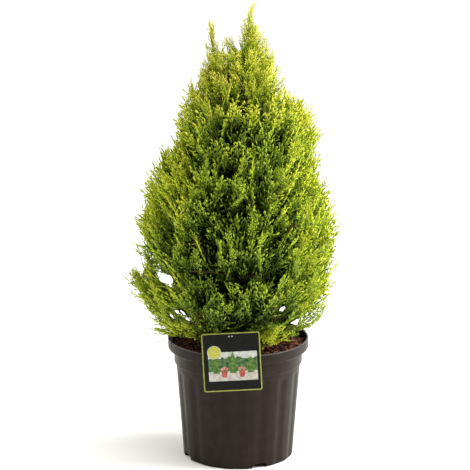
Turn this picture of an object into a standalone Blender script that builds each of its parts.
"""A young golden arborvitae in its nursery pot, about 0.75 m tall.

The origin is the centre of the pot's flat underside, +Z is up, and the label hangs at -Y.
The trunk stands on the bark mulch and runs up through the foliage. Each bough starts just
clear of the trunk and ends just clear of the stem of its own mass of foliage.
"""

import math
import random
from collections import namedtuple

import bpy
import bmesh
import numpy as np
from mathutils import Matrix, Vector
from mathutils.bvhtree import BVHTree

MM = 0.001
CLEAR = 0.3 * MM
SEED = 11
TURN = 2 * math.pi
UP = Vector((0, 0, 1))

# Pot: a five-litre nursery container, turned, with flutes and drainage notches
POT_HEIGHT = 199 * MM
RIM_RADIUS = 115 * MM
RIM_BAND = 16.5 * MM
COLLAR_RADIUS = 104.8 * MM
COLLAR_TOP = 177 * MM
COLLAR_FOOT = 158 * MM
WALL_TOP_RADIUS = 102 * MM
WALL_FOOT_RADIUS = 90 * MM
WALL = 3 * MM
LEDGE = 1.2 * MM
FOOT_CHAMFER = 1.5 * MM
POT_COLUMNS = 64
FLUTES = 16
FLUTE_HALF_ANGLE = math.radians(3.1)
FLUTE_DEPTH = 1.8 * MM
FLUTE_TOP = 150 * MM
FLUTE_FADE = 6 * MM
NOTCHES = 4
NOTCH_AZIMUTH = math.radians(22.5)
NOTCH_WIDTH = 22 * MM
NOTCH_HEIGHT = 4.5 * MM
NOTCH_INNER_RADIUS = 80 * MM

# Soil: potting soil with a bark mulch top, level round the trunk
SOIL_TOP = 180 * MM
SOIL_BUMP = 2.5 * MM
SOIL_LEVEL_RADIUS = 24 * MM
SOIL_RING_RADII = (55 * MM, 90 * MM)

# Label: a card hung in front of the rim by a tongue that folds over it
CARD_WIDTH = 93 * MM
CARD_HEIGHT = 97 * MM
CARD_THICKNESS = 1 * MM
CARD_CORNER = 4 * MM
CARD_CENTRE_X = -10.2 * MM
CARD_CENTRE_Z = 190 * MM
CARD_TURN = math.radians(-3)
TONGUE_WIDTH = 20 * MM
TONGUE_THICKNESS = 1 * MM
TONGUE_DROP = 13 * MM

# Trunk: height above its foot and radius
TRUNK_RADII = (
    (0 * MM, 13.5 * MM),
    (6 * MM, 10.6 * MM),
    (15 * MM, 8.8 * MM),
    (32 * MM, 7.8 * MM),
    (120 * MM, 6.7 * MM),
    (220 * MM, 5.4 * MM),
    (330 * MM, 3.7 * MM),
    (424 * MM, 1.9 * MM),
)
TRUNK_LEAN = 13 * MM
TRUNK_SIDES = 10
ROOT_LOBES = 4
ROOT_LOBE_SHARE = 0.16
FLARE_HEIGHT = 20 * MM

# Boughs: one to each mass, along the first part of the mass's own curve
BOUGH_SIDES = 5
BOUGH_END = 0.36
BOUGH_TIP_SHARE = 0.62
TRUNK_TO_BOUGH = 0.55 * MM

# Rings of masses: azimuths in degrees from +X, then the height where the bough leaves the
# trunk and how far that climbs round the ring, then (radius, height) of the curve's elbow
# and tip, the core's half width and half depth, the length of a spray, and the seeded play
# of the tips
Ring = namedtuple("Ring", "name count azimuth foot climb elbow tip half_width half_depth blade play")
RINGS = (
    Ring("skirt", 6, 178, 206 * MM, 18 * MM, (114 * MM, 207 * MM), (138 * MM, 290 * MM),
         46 * MM, 11 * MM, 58 * MM, 6 * MM),
    Ring("lower", 6, 150, 246 * MM, 30 * MM, (106 * MM, 270 * MM), (134 * MM, 390 * MM),
         50 * MM, 12 * MM, 62 * MM, 8 * MM),
    Ring("middle", 6, 178, 312 * MM, 36 * MM, (90 * MM, 350 * MM), (113 * MM, 488 * MM),
         46 * MM, 12 * MM, 62 * MM, 8 * MM),
    Ring("upper", 5, 160, 396 * MM, 36 * MM, (66 * MM, 448 * MM), (84 * MM, 592 * MM),
         40 * MM, 11 * MM, 58 * MM, 8 * MM),
    Ring("top", 4, 186, 470 * MM, 26 * MM, (34 * MM, 536 * MM), (34 * MM, 672 * MM),
         22 * MM, 8 * MM, 46 * MM, 4 * MM),
)
# Tips that stand out of their ring: (radius, height) from the trunk's line
TIPS = {
    "skirt_1": (177 * MM, 307 * MM),
    "middle_1": (132 * MM, 502 * MM),
    "upper_1": (93 * MM, 610 * MM),
    "upper_4": (96 * MM, 602 * MM),
    "top_1": (64 * MM, 716 * MM),
    "top_3": (42 * MM, 690 * MM),
}
LEADER_TIP = Vector((23 * MM, 0, 748 * MM))
LEADER_HALF_WIDTH = 8 * MM
LEADER_BLADE = 40 * MM

# Core of a mass: share of the way along the curve, and share of its full width there
CORE_RINGS = ((0.47, 0.8), (0.65, 1.0), (0.84, 0.6))
CORE_INWARD = 3.4
CORE_START = 0.38
CORE_END = 0.98
CORE_SIDES = 6
CORE_LUMP = 0.14
CORE_MARGIN = 1.08
STEM_SIDES = 5
STEM_END = 0.5

# Spray: a toothed blade, as (share of its length, share of its width) down one side
BLADE_TEETH = ((0.56, 0.50), (0.50, 0.17))
BLADE_MIDDLE = 0.36
BLADE_WIDTH_SHARE = 0.62
TIP_BLADE_WIDTH_SHARE = 0.4
BLADE_THICKNESS_SHARE = 0.075
BLADE_SUNK = 0.3
BLADE_TRIES = 6
SHORTER = (1.0, 0.8, 0.62)
SPIKE_RADIUS = 1.5 * MM
SPIKE_LENGTH_SHARE = 1.12
OUTER_SHARE = 0.72

# Outline of all the foliage: its middle line leans, and its radius changes with the height
OUTLINE_FOOT_X = -8 * MM
OUTLINE_HEAD_X = 15 * MM
OUTLINE = (
    (190 * MM, 132 * MM),
    (225 * MM, 140 * MM),
    (260 * MM, 157 * MM),
    (300 * MM, 165 * MM),
    (380 * MM, 165 * MM),
    (440 * MM, 155 * MM),
    (480 * MM, 139 * MM),
    (560 * MM, 116 * MM),
    (600 * MM, 89 * MM),
    (640 * MM, 72 * MM),
    (680 * MM, 61 * MM),
)
ABOVE_TIP = 2 * MM
ROUND_TIP = 34 * MM
BEYOND_TIP = 3 * MM

# Space round a mass: from the next mass, the pot's rim and the label
SPACE_BETWEEN = 1.2 * MM
LIMB_SPACE = 0.6 * MM
CORE_TO_LIMB = 3 * MM
BOUGH_SAMPLES = 9
SPACE_START = 0.3
SPACE_SAMPLES = 14
OVER_RIM = 3.5 * MM
OUTSIDE_RIM = 4 * MM
LOWEST_SPRAY = 190 * MM
LABEL_SPACE = 7 * MM
LABEL_VIEW_SLOPE = 0.3

FINISHES = {
    "pot": ((0.030, 0.027, 0.023), 0.38),
    "soil": ((0.060, 0.030, 0.018), 0.92),
    "label": ((0.020, 0.022, 0.018), 0.35),
    "bark": ((0.150, 0.085, 0.048), 0.85),
    "skirt": ((0.120, 0.165, 0.030), 0.62),
    "lower": ((0.165, 0.205, 0.032), 0.62),
    "middle": ((0.230, 0.250, 0.034), 0.62),
    "upper": ((0.330, 0.320, 0.038), 0.62),
    "top": ((0.430, 0.380, 0.045), 0.62),
}


def clear_scene():
    for item in list(bpy.data.objects):
        bpy.data.objects.remove(item)


def finish_of(name):
    """The material of a sub-part, named after it."""
    colour, roughness = FINISHES[name]
    material = bpy.data.materials.new(name)
    material.use_nodes = True
    shader = material.node_tree.nodes["Principled BSDF"]
    shader.inputs["Base Color"].default_value = (*colour, 1)
    shader.inputs["Roughness"].default_value = roughness
    shader.inputs["Metallic"].default_value = 0
    return material


def new_object(name, mesh):
    item = bpy.data.objects.new(name, mesh)
    bpy.context.scene.collection.objects.link(item)
    return item


def mesh_from(name, points, faces):
    mesh = bpy.data.meshes.new(name)
    mesh.from_pydata([tuple(point) for point in points], [], faces)
    return mesh


def dress(item, finish, smooth_under=None):
    """Gives an object its own material and, where an angle is given, smooth shading."""
    item.data.materials.clear()
    item.data.materials.append(finish_of(finish))
    if smooth_under is not None:
        item.data.shade_smooth()
        item.data.set_sharp_from_angle(angle=smooth_under)


def apply_modifiers(item):
    graph = bpy.context.evaluated_depsgraph_get()
    mesh = bpy.data.meshes.new_from_object(item.evaluated_get(graph))
    item.modifiers.clear()
    item.data = mesh


def between(table, value):
    """Reads a table of (place, size) pairs at a place, in straight runs."""
    for (low, size), (high, next_size) in zip(table, table[1:]):
        if value <= high:
            share = (value - low) / (high - low)
            return size + (next_size - size) * max(0.0, share)
    return table[-1][1]


# Pot, soil and label


def turned(profile, steps):
    """Spins a profile of (radius, height) pairs that starts and ends on the axis."""
    body = bmesh.new()
    points = [body.verts.new((radius, 0, height)) for radius, height in profile]
    edges = [body.edges.new(pair) for pair in zip(points, points[1:])]
    bmesh.ops.spin(
        body, geom=points + edges, cent=(0, 0, 0), axis=(0, 0, 1), angle=TURN, steps=steps,
        use_merge=True,
    )
    bmesh.ops.remove_doubles(body, verts=body.verts, dist=0.01 * MM)
    bmesh.ops.recalc_face_normals(body, faces=body.faces)
    return body


def pot_profile():
    """The outline of the pot's wall, from the middle of its underside round to its floor."""
    band_foot = POT_HEIGHT - RIM_BAND
    lip = LEDGE
    outside = [
        (0, 0),
        (WALL_FOOT_RADIUS - FOOT_CHAMFER, 0),
        (WALL_FOOT_RADIUS, FOOT_CHAMFER),
        (outer_wall_radius(FLUTE_TOP - FLUTE_FADE), FLUTE_TOP - FLUTE_FADE),
        (outer_wall_radius(FLUTE_TOP), FLUTE_TOP),
        (WALL_TOP_RADIUS, COLLAR_FOOT - lip),
        (COLLAR_RADIUS, COLLAR_FOOT),
        (COLLAR_RADIUS, COLLAR_TOP),
        (RIM_RADIUS, band_foot),
        (RIM_RADIUS, POT_HEIGHT - lip),
        (RIM_RADIUS - lip, POT_HEIGHT),
    ]
    inside = [
        (RIM_RADIUS - WALL, POT_HEIGHT),
        (RIM_RADIUS - WALL, band_foot),
        (COLLAR_RADIUS - WALL, COLLAR_TOP),
        (COLLAR_RADIUS - WALL, COLLAR_FOOT + lip),
        (WALL_TOP_RADIUS - WALL, COLLAR_FOOT - lip),
        (WALL_FOOT_RADIUS - WALL, WALL),
        (0, WALL),
    ]
    return outside + inside


def outer_wall_radius(height):
    return between(((0, WALL_FOOT_RADIUS), (COLLAR_FOOT, WALL_TOP_RADIUS)), height)


def cut_flutes(body):
    """Gathers the wall's columns at each flute and pushes the middle one in."""
    sector = TURN / FLUTES
    column = TURN / POT_COLUMNS
    for point in body.verts:
        radius = point.co.xy.length
        if radius < WALL_FOOT_RADIUS - 2 * WALL:
            continue
        azimuth = math.atan2(point.co.y, point.co.x)
        off = (azimuth + sector / 2) % sector - sector / 2
        place = round(off / column)
        on_wall = radius > outer_wall_radius(point.co.z) - 1.6 * MM
        if abs(place) == 1:
            azimuth += place * FLUTE_HALF_ANGLE - off
        elif place == 0 and on_wall and point.co.z < FLUTE_TOP - FLUTE_FADE / 2:
            radius -= FLUTE_DEPTH
        point.co.x = radius * math.cos(azimuth)
        point.co.y = radius * math.sin(azimuth)


def make_pot():
    body = turned(pot_profile(), POT_COLUMNS)
    cut_flutes(body)
    mesh = bpy.data.meshes.new("pot")
    body.to_mesh(mesh)
    body.free()
    pot = new_object("pot", mesh)
    cutter = make_notch_cutter()
    notches = pot.modifiers.new("notches", "BOOLEAN")
    notches.operation = "DIFFERENCE"
    notches.object = cutter
    apply_modifiers(pot)
    bpy.data.objects.remove(cutter)
    dress(pot, "pot", math.radians(32))
    return pot


def make_notch_cutter():
    """Four wedges that open the wall's foot where the water drains out."""
    body = bmesh.new()
    depth = WALL_FOOT_RADIUS + 4 * MM - NOTCH_INNER_RADIUS
    middle = NOTCH_INNER_RADIUS + depth / 2
    for place in range(NOTCHES):
        made = bmesh.ops.create_cube(body, size=1)["verts"]
        for point in made:
            side = 0.84 if point.co.z > 0 else 1.0
            point.co.x = middle + point.co.x * depth
            point.co.y *= NOTCH_WIDTH * side
            point.co.z = NOTCH_HEIGHT if point.co.z > 0 else -2 * MM
        azimuth = NOTCH_AZIMUTH + place * TURN / NOTCHES
        bmesh.ops.rotate(body, verts=made, cent=(0, 0, 0), matrix=Matrix.Rotation(azimuth, 3, "Z"))
    mesh = bpy.data.meshes.new("notch_cutter")
    body.to_mesh(mesh)
    body.free()
    cutter = new_object("notch_cutter", mesh)
    cutter.hide_render = True
    cutter.display_type = "WIRE"
    return cutter


def make_soil():
    """Fills the pot to just under its rim band. The mulch lies uneven, but level by the trunk."""
    side = CLEAR + 0.15 * MM
    shoulder = between(
        ((COLLAR_TOP, COLLAR_RADIUS), (POT_HEIGHT - RIM_BAND, RIM_RADIUS)), SOIL_TOP
    )
    profile = [
        (0, WALL + CLEAR),
        (WALL_FOOT_RADIUS - WALL - side, WALL + CLEAR),
        (WALL_TOP_RADIUS - WALL - side, COLLAR_FOOT - LEDGE),
        (COLLAR_RADIUS - WALL - side, COLLAR_FOOT + LEDGE),
        (COLLAR_RADIUS - WALL - side, COLLAR_TOP - 0.2 * MM),
        (shoulder - WALL - 3 * side, SOIL_TOP),
    ]
    profile += [(radius, SOIL_TOP) for radius in reversed(SOIL_RING_RADII)]
    profile += [(SOIL_LEVEL_RADIUS, SOIL_TOP), (0, SOIL_TOP)]
    body = turned(profile, POT_COLUMNS // 2)
    chance = random.Random(SEED)
    body.verts.ensure_lookup_table()
    for point in body.verts:
        rough = SOIL_LEVEL_RADIUS * 1.5 < point.co.xy.length < SOIL_RING_RADII[-1] + 1 * MM
        if point.co.z > SOIL_TOP - 1 * MM and rough:
            point.co.z += SOIL_BUMP * chance.uniform(-0.4, 1)
    mesh = bpy.data.meshes.new("soil")
    body.to_mesh(mesh)
    body.free()
    dress(new_object("soil", mesh), "soil")


def make_label():
    """The card, turned a little as it hangs, and the tongue behind it that goes over the rim."""
    body = bmesh.new()
    outline = []
    for side_x, side_z, start in ((1, 1, 0), (-1, 1, 90), (-1, -1, 180), (1, -1, 270)):
        for step in range(4):
            angle = math.radians(start + 30 * step)
            along = side_x * (CARD_WIDTH / 2 - CARD_CORNER) + CARD_CORNER * math.cos(angle)
            rise = side_z * (CARD_HEIGHT / 2 - CARD_CORNER) + CARD_CORNER * math.sin(angle)
            outline.append(body.verts.new((along, 0, rise)))
    card = body.faces.new(outline)
    grown = bmesh.ops.extrude_face_region(body, geom=[card])["geom"]
    moved = [item for item in grown if isinstance(item, bmesh.types.BMVert)]
    bmesh.ops.translate(body, verts=moved, vec=(0, -CARD_THICKNESS, 0))
    bmesh.ops.rotate(
        body, verts=body.verts, cent=(0, 0, 0), matrix=Matrix.Rotation(CARD_TURN, 3, "Y")
    )
    back = -RIM_RADIUS - CLEAR
    bmesh.ops.translate(body, verts=body.verts, vec=(CARD_CENTRE_X, back, CARD_CENTRE_Z))
    bmesh.ops.recalc_face_normals(body, faces=body.faces)
    mesh = bpy.data.meshes.new("label")
    body.to_mesh(mesh)
    body.free()
    label = new_object("label", mesh)
    tongue = make_tongue(back)
    joined = label.modifiers.new("tongue", "BOOLEAN")
    joined.operation = "UNION"
    joined.object = tongue
    apply_modifiers(label)
    bpy.data.objects.remove(tongue)
    dress(label, "label")


def make_tongue(back):
    """A strip that leaves the card's back, crosses the rim and hangs down inside it."""
    half = TONGUE_WIDTH / 2
    inner = -math.sqrt((RIM_RADIUS - WALL) ** 2 - (half - CARD_CENTRE_X) ** 2) + CLEAR
    low = POT_HEIGHT + CLEAR
    high = low + TONGUE_THICKNESS
    path = (
        (back - CARD_THICKNESS / 2, low),
        (back - CARD_THICKNESS / 2, high),
        (inner + TONGUE_THICKNESS, high),
        (inner + TONGUE_THICKNESS, low - TONGUE_DROP),
        (inner, low - TONGUE_DROP),
        (inner, low),
    )
    body = bmesh.new()
    face = body.faces.new([body.verts.new((CARD_CENTRE_X - half, y, z)) for y, z in path])
    grown = bmesh.ops.extrude_face_region(body, geom=[face])["geom"]
    moved = [item for item in grown if isinstance(item, bmesh.types.BMVert)]
    bmesh.ops.translate(body, verts=moved, vec=(TONGUE_WIDTH, 0, 0))
    bmesh.ops.recalc_face_normals(body, faces=body.faces)
    mesh = bpy.data.meshes.new("tongue")
    body.to_mesh(mesh)
    body.free()
    return new_object("tongue", mesh)


# Limbs


def trunk_line(height):
    """The middle of the trunk at a height: it leans a little to +X, more towards its tip."""
    share = max(0.0, height - SOIL_TOP) / TRUNK_RADII[-1][0]
    return Vector((TRUNK_LEAN * share ** 1.5, 0, height))


def trunk_radius(height):
    return between(TRUNK_RADII, height - SOIL_TOP - CLEAR)


def tube(rings):
    """Points and faces of a closed tube through rings of points, with flat ends."""
    sides = len(rings[0])
    points = [point for ring in rings for point in ring]
    faces = [tuple(reversed(range(sides)))]
    for ring in range(len(rings) - 1):
        for side in range(sides):
            one = ring * sides + side
            two = ring * sides + (side + 1) % sides
            faces.append((one, two, two + sides, one + sides))
    last = (len(rings) - 1) * sides
    faces.append(tuple(range(last, last + sides)))
    return points, faces


def ring_round(middle, across, out, radius, sides):
    return [
        middle + radius * (across * math.cos(TURN * k / sides) + out * math.sin(TURN * k / sides))
        for k in range(sides)
    ]


def trunk_rings(extra=0.0):
    rings = []
    foot = SOIL_TOP + CLEAR
    for rise, radius in TRUNK_RADII:
        flare = max(0.0, 1 - rise / FLARE_HEIGHT)
        ring = []
        for side in range(TRUNK_SIDES):
            angle = TURN * side / TRUNK_SIDES
            lobe = 1 + ROOT_LOBE_SHARE * flare * math.cos(ROOT_LOBES * angle + 0.6)
            reach = (radius + extra) * lobe
            middle = trunk_line(foot + rise)
            ring.append(middle + Vector((math.cos(angle), math.sin(angle), 0)) * reach)
        rings.append(ring)
    return rings


def make_trunk():
    points, faces = tube(trunk_rings())
    trunk = new_object("trunk", mesh_from("trunk", points, faces))
    dress(trunk, "bark", math.radians(60))


class Mass:
    """One mass of foliage: the curve that its bough and stem follow, and its sizes."""

    def __init__(self, name, azimuth, path, half_width, half_depth, blade, finish):
        self.name = name
        self.out = Vector((math.cos(azimuth), math.sin(azimuth), 0))
        self.across = Vector((-self.out.y, self.out.x, 0))
        self.path = path
        self.half_width = half_width
        self.half_depth = half_depth
        self.blade = blade
        self.finish = finish
        self.has_bough = True

    def point(self, share):
        start, elbow, tip = self.path
        return (start * (1 - share) ** 2 + elbow * 2 * share * (1 - share) + tip * share ** 2)

    def heading(self, share):
        start, elbow, tip = self.path
        return ((elbow - start) * (1 - share) + (tip - elbow) * share).normalized()

    def outward(self, share):
        """Square to the heading and to the level direction across the mass."""
        return self.across.cross(self.heading(share)).normalized()

    def samples(self):
        step = (1 - SPACE_START) / (SPACE_SAMPLES - 1)
        return [self.point(SPACE_START + step * k) for k in range(SPACE_SAMPLES)]


def ring_masses(ring):
    """The masses of one ring, from 1 up, at even azimuths and with a seeded play in their tips."""
    chance = random.Random(SEED + len(ring.name) + ring.count)
    masses = []
    for place in range(ring.count):
        name = f"{ring.name}_{place + 1}"
        azimuth = math.radians(ring.azimuth + 360 * place / ring.count)
        out = Vector((math.cos(azimuth), math.sin(azimuth), 0))
        foot = ring.foot + ring.climb * ((2 * place) % ring.count) / ring.count
        play = chance.uniform(-ring.play, ring.play)
        radius, height = TIPS.get(name, (ring.tip[0] + play, ring.tip[1] + 1.5 * play))
        path = (
            trunk_line(foot) + out * (trunk_radius(foot) + TRUNK_TO_BOUGH),
            trunk_line(ring.elbow[1]) + out * ring.elbow[0],
            trunk_line(height) + out * radius,
        )
        masses.append(
            Mass(name, azimuth, path, ring.half_width, ring.half_depth, ring.blade, ring.name)
        )
    return masses


def leader_mass():
    """The mass on the trunk's own tip, which makes the plant's highest point."""
    start = trunk_line(SOIL_TOP + CLEAR + TRUNK_RADII[-1][0]) + UP * CLEAR
    middle = start.lerp(LEADER_TIP, 0.5) + Vector((-1 * MM, 2 * MM, 0))
    mass = Mass(
        "leader", math.radians(-20), (start, middle, LEADER_TIP), LEADER_HALF_WIDTH,
        LEADER_HALF_WIDTH, LEADER_BLADE, "top",
    )
    mass.has_bough = False
    return mass


def bough_radius(mass):
    root = trunk_radius(mass.path[0].z) * 0.46
    return max(1.1 * MM, root)


def bough_rings(mass, extra=0.0):
    """The first ring stands upright along the trunk's side, and the rest square to the curve."""
    root = bough_radius(mass)
    first = mass.path[0] - mass.out * extra
    rings = [ring_round(first, mass.across, UP, root * 1.15 + extra, BOUGH_SIDES)]
    for step in range(1, 4):
        share = BOUGH_END * step / 3
        radius = root * (1 - (1 - BOUGH_TIP_SHARE) * step / 3) + extra
        middle = mass.point(share)
        if step == 3:
            middle = middle + mass.heading(share) * extra
        rings.append(
            ring_round(middle, mass.across, -mass.outward(share), radius, BOUGH_SIDES)
        )
    return rings


def make_bough(mass):
    points, faces = tube(bough_rings(mass))
    bough = new_object(f"bough_{mass.name}", mesh_from("bough", points, faces))
    dress(bough, "bark", math.radians(60))


# Foliage


class Space:
    """Says where each mass may grow: nearer its own curve than any other, clear of the rest."""

    def __init__(self, masses):
        self.place = {mass.name: number for number, mass in enumerate(masses)}
        self.samples = np.array([mass.samples() for mass in masses])
        tubes = [tube(trunk_rings(LIMB_SPACE))]
        tubes += [tube(bough_rings(mass, LIMB_SPACE)) for mass in masses if mass.has_bough]
        self.limbs = [BVHTree.FromPolygons(points, faces) for points, faces in tubes]
        self.bough_points = np.array([
            mass.point(BOUGH_END * k / (BOUGH_SAMPLES - 1))
            for mass in masses if mass.has_bough for k in range(BOUGH_SAMPLES)
        ])
        self.bough_reach = np.repeat(
            [bough_radius(mass) + CORE_TO_LIMB for mass in masses if mass.has_bough],
            BOUGH_SAMPLES,
        )
        self.grown = []

    def owns(self, mass, point):
        reach = np.linalg.norm(self.samples - np.array(point), axis=2).min(axis=1)
        own = reach[self.place[mass.name]]
        reach[self.place[mass.name]] = np.inf
        if own + 2 * SPACE_BETWEEN > reach.min():
            return False
        return self.in_outline(mass, point) and self.open_air(point)

    def off_limbs(self, point):
        """Far enough from the trunk and every bough for a core's corner."""
        from_trunk = (point - trunk_line(point.z)).length
        if from_trunk < trunk_radius(point.z) + CORE_TO_LIMB:
            return False
        apart = np.linalg.norm(self.bough_points - np.array(point), axis=1)
        return bool((apart > self.bough_reach).all())

    def in_outline(self, mass, point):
        """Inside the plant's outline, or close to a tip that stands out of it."""
        tip = mass.path[2]
        if point.z > tip.z + ABOVE_TIP:
            return False
        share = (point.z - OUTLINE[0][0]) / (LEADER_TIP.z - OUTLINE[0][0])
        line = OUTLINE_FOOT_X + (OUTLINE_HEAD_X - OUTLINE_FOOT_X) * share
        radius = between(OUTLINE, point.z)
        if (point - tip).length < ROUND_TIP:
            radius = max(radius, math.hypot(tip.x - line, tip.y) + BEYOND_TIP)
        return math.hypot(point.x - line, point.y) < radius

    def open_air(self, point):
        """Over the rim or out beyond it, and neither behind nor in front of the label."""
        if point.xy.length < RIM_RADIUS + OUTSIDE_RIM:
            if point.z < POT_HEIGHT + OVER_RIM:
                return False
        elif point.z < LOWEST_SPRAY:
            return False
        beside = abs(point.x - CARD_CENTRE_X) > CARD_WIDTH / 2 + LABEL_SPACE
        behind = point.y > -RIM_RADIUS + LABEL_SPACE
        if beside or behind:
            return True
        over = CARD_CENTRE_Z + CARD_HEIGHT / 2 + LABEL_SPACE
        return point.z > over + LABEL_VIEW_SLOPE * max(0.0, -RIM_RADIUS - point.y)

    def clear_of_limbs(self, tree):
        return not any(limb.overlap(tree) for limb in self.limbs)

    def clear_of_grown(self, tree):
        return not any(other.overlap(tree) for other in self.grown)


def blade_shape(root, tip, side, width):
    """A toothed blade, thickest at its middle, as one closed body."""
    along = tip - root
    thick = along.cross(side).normalized() * along.length * BLADE_THICKNESS_SHARE / 2
    outline = [root]
    outline += [root + along * far + side * width * wide for far, wide in BLADE_TEETH]
    outline.append(tip)
    outline += [root + along * far * 0.95 - side * width * wide
                for far, wide in reversed(BLADE_TEETH)]
    middle = root + along * BLADE_MIDDLE
    points = outline + [middle + thick, middle - thick]
    top = len(outline)
    faces = []
    for place in range(top):
        after = (place + 1) % top
        faces.append((after, place, top))
        faces.append((place, after, top + 1))
    return points, faces


def spike_shape(root, tip, side):
    """A lone shoot, as a slim pyramid of four faces."""
    other = (tip - root).cross(side).normalized()
    base = ring_round(root, side, other, SPIKE_RADIUS, 3)
    return base + [tip], [(0, 2, 1), (0, 1, 3), (1, 2, 3), (2, 0, 3)]


def faces_out(points, faces):
    """The same faces, turned round where the closed body they make is inside out."""
    volume = 0.0
    for face in faces:
        for two, three in zip(face[1:], face[2:]):
            volume += points[face[0]].dot(points[two].cross(points[three]))
    return faces if volume > 0 else [tuple(reversed(face)) for face in faces]


def core_vertices(mass, space, chance):
    """Rings of points round the mass's curve, each drawn in until it lies in its own space."""
    rings = []
    for share, full in CORE_RINGS:
        middle = mass.point(share)
        ring = []
        for side in range(CORE_SIDES):
            angle = TURN * (side + 0.5 * (len(rings) % 2)) / CORE_SIDES
            reach = mass.across * mass.half_width * math.cos(angle)
            depth = mass.half_depth * (1 if side * 2 < CORE_SIDES else CORE_INWARD)
            reach = reach + mass.outward(share) * depth * math.sin(angle)
            reach = reach * full * (1 + CORE_LUMP * chance.uniform(-1, 1))
            for _ in range(14):
                corner = middle + reach * CORE_MARGIN
                if space.owns(mass, corner) and space.off_limbs(corner):
                    break
                reach = reach * 0.86
            ring.append(middle + reach)
        rings.append(ring)
    return rings


def core_shape(mass, rings):
    """The core's points, its faces, and the faces that carry a spray or a lone shoot."""
    points = [point for ring in rings for point in ring]
    points += [mass.point(CORE_START), mass.point(CORE_END)]
    foot = len(points) - 2
    head = len(points) - 1
    last = (len(rings) - 1) * CORE_SIDES
    faces = []
    sprays = []
    shoots = []
    for side in range(CORE_SIDES):
        after = (side + 1) % CORE_SIDES
        outer = side * 2 < CORE_SIDES
        faces.append((after, side, foot))
        faces.append((last + side, last + after, head))
        seats = sprays if side % 2 else shoots
        seats.append(faces[-1])
        for band in range(len(rings) - 1):
            low = band * CORE_SIDES
            high = low + CORE_SIDES
            faces.append((low + side, low + after, high + after))
            faces.append((low + side, high + after, high + side))
            if outer or (side + band) % 2:
                sprays.append(faces[-1 - (side + band) % 2])
    sprays.append(faces[0])
    return points, faces, sprays, shoots


def grow_core(mass, space, chance):
    """The core, narrowed until it is clear of every limb."""
    rings = core_vertices(mass, space, chance)
    for _ in range(20):
        points, faces, sprays, shoots = core_shape(mass, rings)
        if space.clear_of_limbs(BVHTree.FromPolygons(points, faces)):
            break
        for ring, (share, _full) in zip(rings, CORE_RINGS):
            middle = mass.point(share)
            ring[:] = [middle.lerp(point, 0.88) for point in ring]
    return points, faces_out(points, faces), sprays, shoots


def stem_shape(mass):
    """The stem that carries the mass, from just past its bough's tip into its core."""
    start = BOUGH_END if mass.has_bough else 0.0
    root = bough_radius(mass) * BOUGH_TIP_SHARE if mass.has_bough else TRUNK_RADII[-1][1]
    first = mass.point(start)
    if mass.has_bough:
        first = first + mass.heading(start) * CLEAR
    last = mass.point(STEM_END)
    rings = [
        ring_round(first, mass.across, -mass.outward(start), root, STEM_SIDES),
        ring_round(last, mass.across, -mass.outward(STEM_END), root * 0.8, STEM_SIDES),
    ]
    points, faces = tube(rings)
    return points, faces_out(points, faces)


def try_piece(mass, space, taken, points, faces, tip):
    """True if a piece keeps to its space, clear of limbs, of other masses and of its fellows."""
    if not all(space.owns(mass, point) for point in points):
        return False
    tree = BVHTree.FromPolygons(points, faces)
    if not space.clear_of_limbs(tree) or not space.clear_of_grown(tree):
        return False
    outer = [tip.lerp(point, OUTER_SHARE) for point in points]
    outer_tree = BVHTree.FromPolygons(outer, faces)
    if any(other.overlap(outer_tree) for other in taken):
        return False
    taken.append(outer_tree)
    return True


def spray_aim(mass, share, away, chance):
    """Which way a spray points: away from the core, along the curve and up."""
    aim = away * 0.95 + mass.heading(share) * 0.75 + UP * 0.42
    aim = aim + Vector([chance.uniform(-1, 1) for _ in range(3)]) * 0.2
    return aim.normalized()


def grow_sprays(mass, space, points, sprays, shoots, chance):
    """A blade at the mass's tip, then blades and lone shoots on their faces of the core."""
    taken = []
    pieces = []
    root = mass.point(0.8)
    tip = mass.path[2]
    for _ in range(BLADE_TRIES):
        side = turned_side(tip - root, chance)
        shape, faces = blade_shape(root, tip, side, mass.blade * TIP_BLADE_WIDTH_SHARE)
        faces = faces_out(shape, faces)
        if try_piece(mass, space, taken, shape, faces, tip):
            pieces.append((shape, faces))
            break
    for blade, seats in ((True, sprays), (False, shoots)):
        for seat in seats:
            piece = grow_spray(mass, space, taken, chance, [points[k] for k in seat], blade)
            if piece:
                pieces.append(piece)
    return pieces


def turned_side(along, chance):
    """A direction square to a spray: mostly level, as the sprays stand in upright planes."""
    level = along.cross(UP)
    if level.length < 1e-6:
        level = Vector((1, 0, 0))
    upright = along.cross(level).normalized()
    twist = chance.gauss(0.5 * math.pi, 0.75)
    return (level.normalized() * math.cos(twist) + upright * math.sin(twist)).normalized()


def nearest_share(mass, point):
    """How far along its curve a mass comes nearest to a point."""
    shares = [CORE_START + (1 - CORE_START) * k / 12 for k in range(13)]
    return min(shares, key=lambda share: (mass.point(share) - point).length)


def grow_spray(mass, space, taken, chance, seat, blade):
    """Tries a few aims, twists and lengths for a piece rooted under one face of the core."""
    centre = sum(seat, Vector()) / 3
    share = nearest_share(mass, centre)
    middle = mass.point(share)
    away = (centre - middle).normalized()
    root = centre.lerp(middle, BLADE_SUNK)
    for _ in range(BLADE_TRIES):
        aim = spray_aim(mass, share, away, chance)
        for shorter in SHORTER:
            length = mass.blade * shorter * chance.uniform(0.88, 1.12)
            if not blade:
                length *= SPIKE_LENGTH_SHARE
            tip = root + aim * length
            side = turned_side(aim, chance)
            if blade:
                points, faces = blade_shape(root, tip, side, length * BLADE_WIDTH_SHARE)
            else:
                points, faces = spike_shape(root, tip, side)
            faces = faces_out(points, faces)
            if try_piece(mass, space, taken, points, faces, tip):
                return points, faces
    return None


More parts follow.
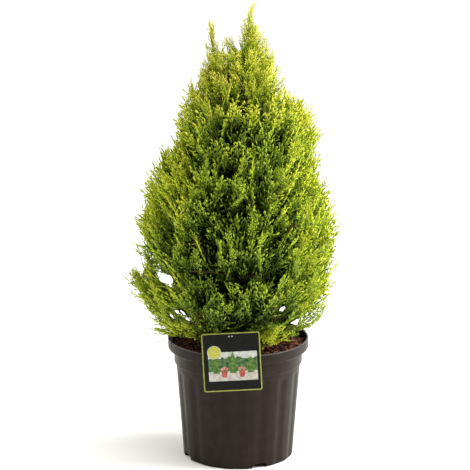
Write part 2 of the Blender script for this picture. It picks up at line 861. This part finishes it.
def fuse(name, pieces):
    """Joins closed pieces into one object by one union."""
    base = new_object(name, mesh_from(name, *pieces[0]))
    others = bpy.data.collections.new(f"{name}_pieces")
    bpy.context.scene.collection.children.link(others)
    for points, faces in pieces[1:]:
        others.objects.link(bpy.data.objects.new("piece", mesh_from("piece", points, faces)))
    join = base.modifiers.new("join", "BOOLEAN")
    join.operation = "UNION"
    join.operand_type = "COLLECTION"
    join.collection = others
    apply_modifiers(base)
    for item in list(others.objects):
        bpy.data.objects.remove(item)
    bpy.data.collections.remove(others)
    keep_largest_body(base)
    return base


def keep_largest_body(item):
    """Drops the skins of sealed hollows and loose scraps, which leaves one filled body."""
    body = bmesh.new()
    body.from_mesh(item.data)
    bmesh.ops.remove_doubles(body, verts=body.verts, dist=0.001 * MM)
    bmesh.ops.dissolve_degenerate(body, edges=body.edges, dist=0.001 * MM)
    bmesh.ops.triangulate(body, faces=body.faces)
    left = set(body.faces)
    groups = []
    while left:
        group = {left.pop()}
        edge_of = list(group)
        while edge_of:
            face = edge_of.pop()
            for edge in face.edges:
                for near in edge.link_faces:
                    if near in left:
                        left.remove(near)
                        group.add(near)
                        edge_of.append(near)
        groups.append(group)
    groups.sort(key=len)
    for group in groups[:-1]:
        bmesh.ops.delete(body, geom=list(group), context="FACES")
    body.to_mesh(item.data)
    body.free()


def make_masses(masses, space):
    for number, mass in enumerate(masses):
        chance = random.Random(SEED * 100 + number)
        points, faces, sprays, shoots = grow_core(mass, space, chance)
        pieces = [(points, faces), stem_shape(mass)]
        pieces += grow_sprays(mass, space, points, sprays, shoots, chance)
        space.grown += [BVHTree.FromPolygons(points, faces) for points, faces in pieces]
        item = fuse(f"foliage_{mass.name}", pieces)
        dress(item, mass.finish)


def main():
    clear_scene()
    make_pot()
    make_soil()
    make_label()
    make_trunk()
    masses = [mass for ring in RINGS for mass in ring_masses(ring)]
    masses.append(leader_mass())
    for mass in masses:
        if mass.has_bough:
            make_bough(mass)
    make_masses(masses, Space(masses))


main()
